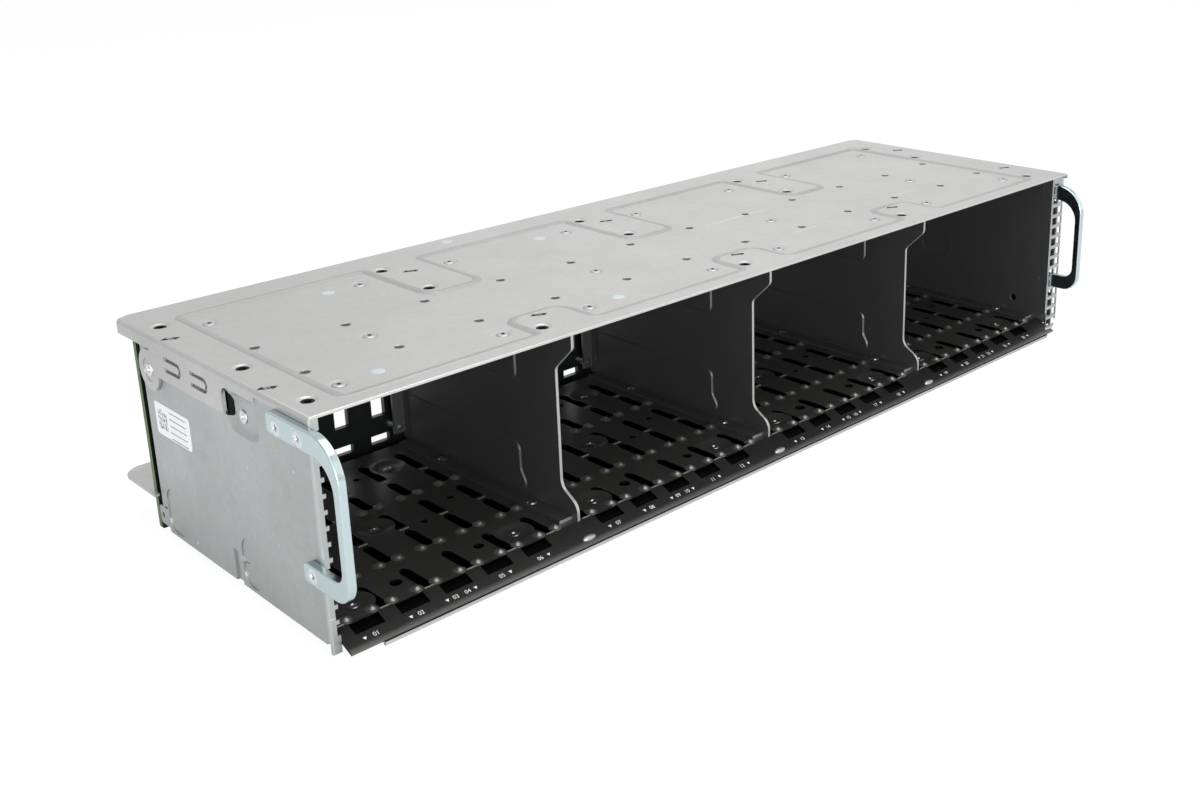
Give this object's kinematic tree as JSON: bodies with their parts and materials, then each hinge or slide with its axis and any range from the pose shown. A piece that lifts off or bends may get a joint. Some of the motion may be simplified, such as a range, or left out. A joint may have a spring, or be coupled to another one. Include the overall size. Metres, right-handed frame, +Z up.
{
  "type": "server drive cage",
  "caption": "Front drive cage of a rack server: galvanised sheet-metal box with black dividers and slotted guide tray, side handles and a backplane board across the rear.",
  "frame": {"origin": "middle of the base plate's underside, on the cage's centre line, 60 mm behind the cover's front edge", "axes": "+X to the right seen from the front, +Y to the rear, where the backplane is, +Z up"},
  "size_m": [0.4429, 0.1733, 0.0848],
  "materials": {
    "galvanised": "galvanised steel sheet, dull grey",
    "black_sheet": "black powder coat on steel sheet",
    "zinc_plate": "bright zinc plated steel",
    "green_laminate": "green solder mask on glass-epoxy laminate",
    "black_plastic": "moulded black connector plastic",
    "connector_shell": "stamped steel connector shell",
    "bright_steel": "bright plated steel fasteners"
  },
  "bodies": {
    "root": {"backplane_board": "green_laminate", "base_plate": "galvanised", "board_screws": "bright_steel", "board_standoffs": "bright_steel", "cover_rivets": "bright_steel", "data_connectors": "connector_shell", "divider_1": "black_sheet", "divider_2": "black_sheet", "divider_3": "black_sheet", "drive_connectors_1": "black_plastic", "drive_connectors_2": "black_plastic", "drive_connectors_3": "black_plastic", "drive_connectors_4": "black_plastic", "foot_rivets": "bright_steel", "left_handle": "zinc_plate", "left_handle_screws": "bright_steel", "left_side_panel": "galvanised", "lower_guide_tray": "black_sheet", "power_connectors": "black_plastic", "rear_cable_shelf": "galvanised", "right_handle": "zinc_plate", "right_handle_screws": "bright_steel", "right_inner_wall": "black_sheet", "right_side_channel": "galvanised", "scoop_screw": "bright_steel", "shelf_screws": "bright_steel", "side_rivets": "bright_steel", "top_cover": "galvanised", "tray_rivets": "bright_steel", "upper_guide_plate_1": "black_sheet", "upper_guide_plate_2": "black_sheet", "upper_guide_plate_3": "black_sheet", "upper_guide_plate_4": "black_sheet"}
  },
  "joints": []
}
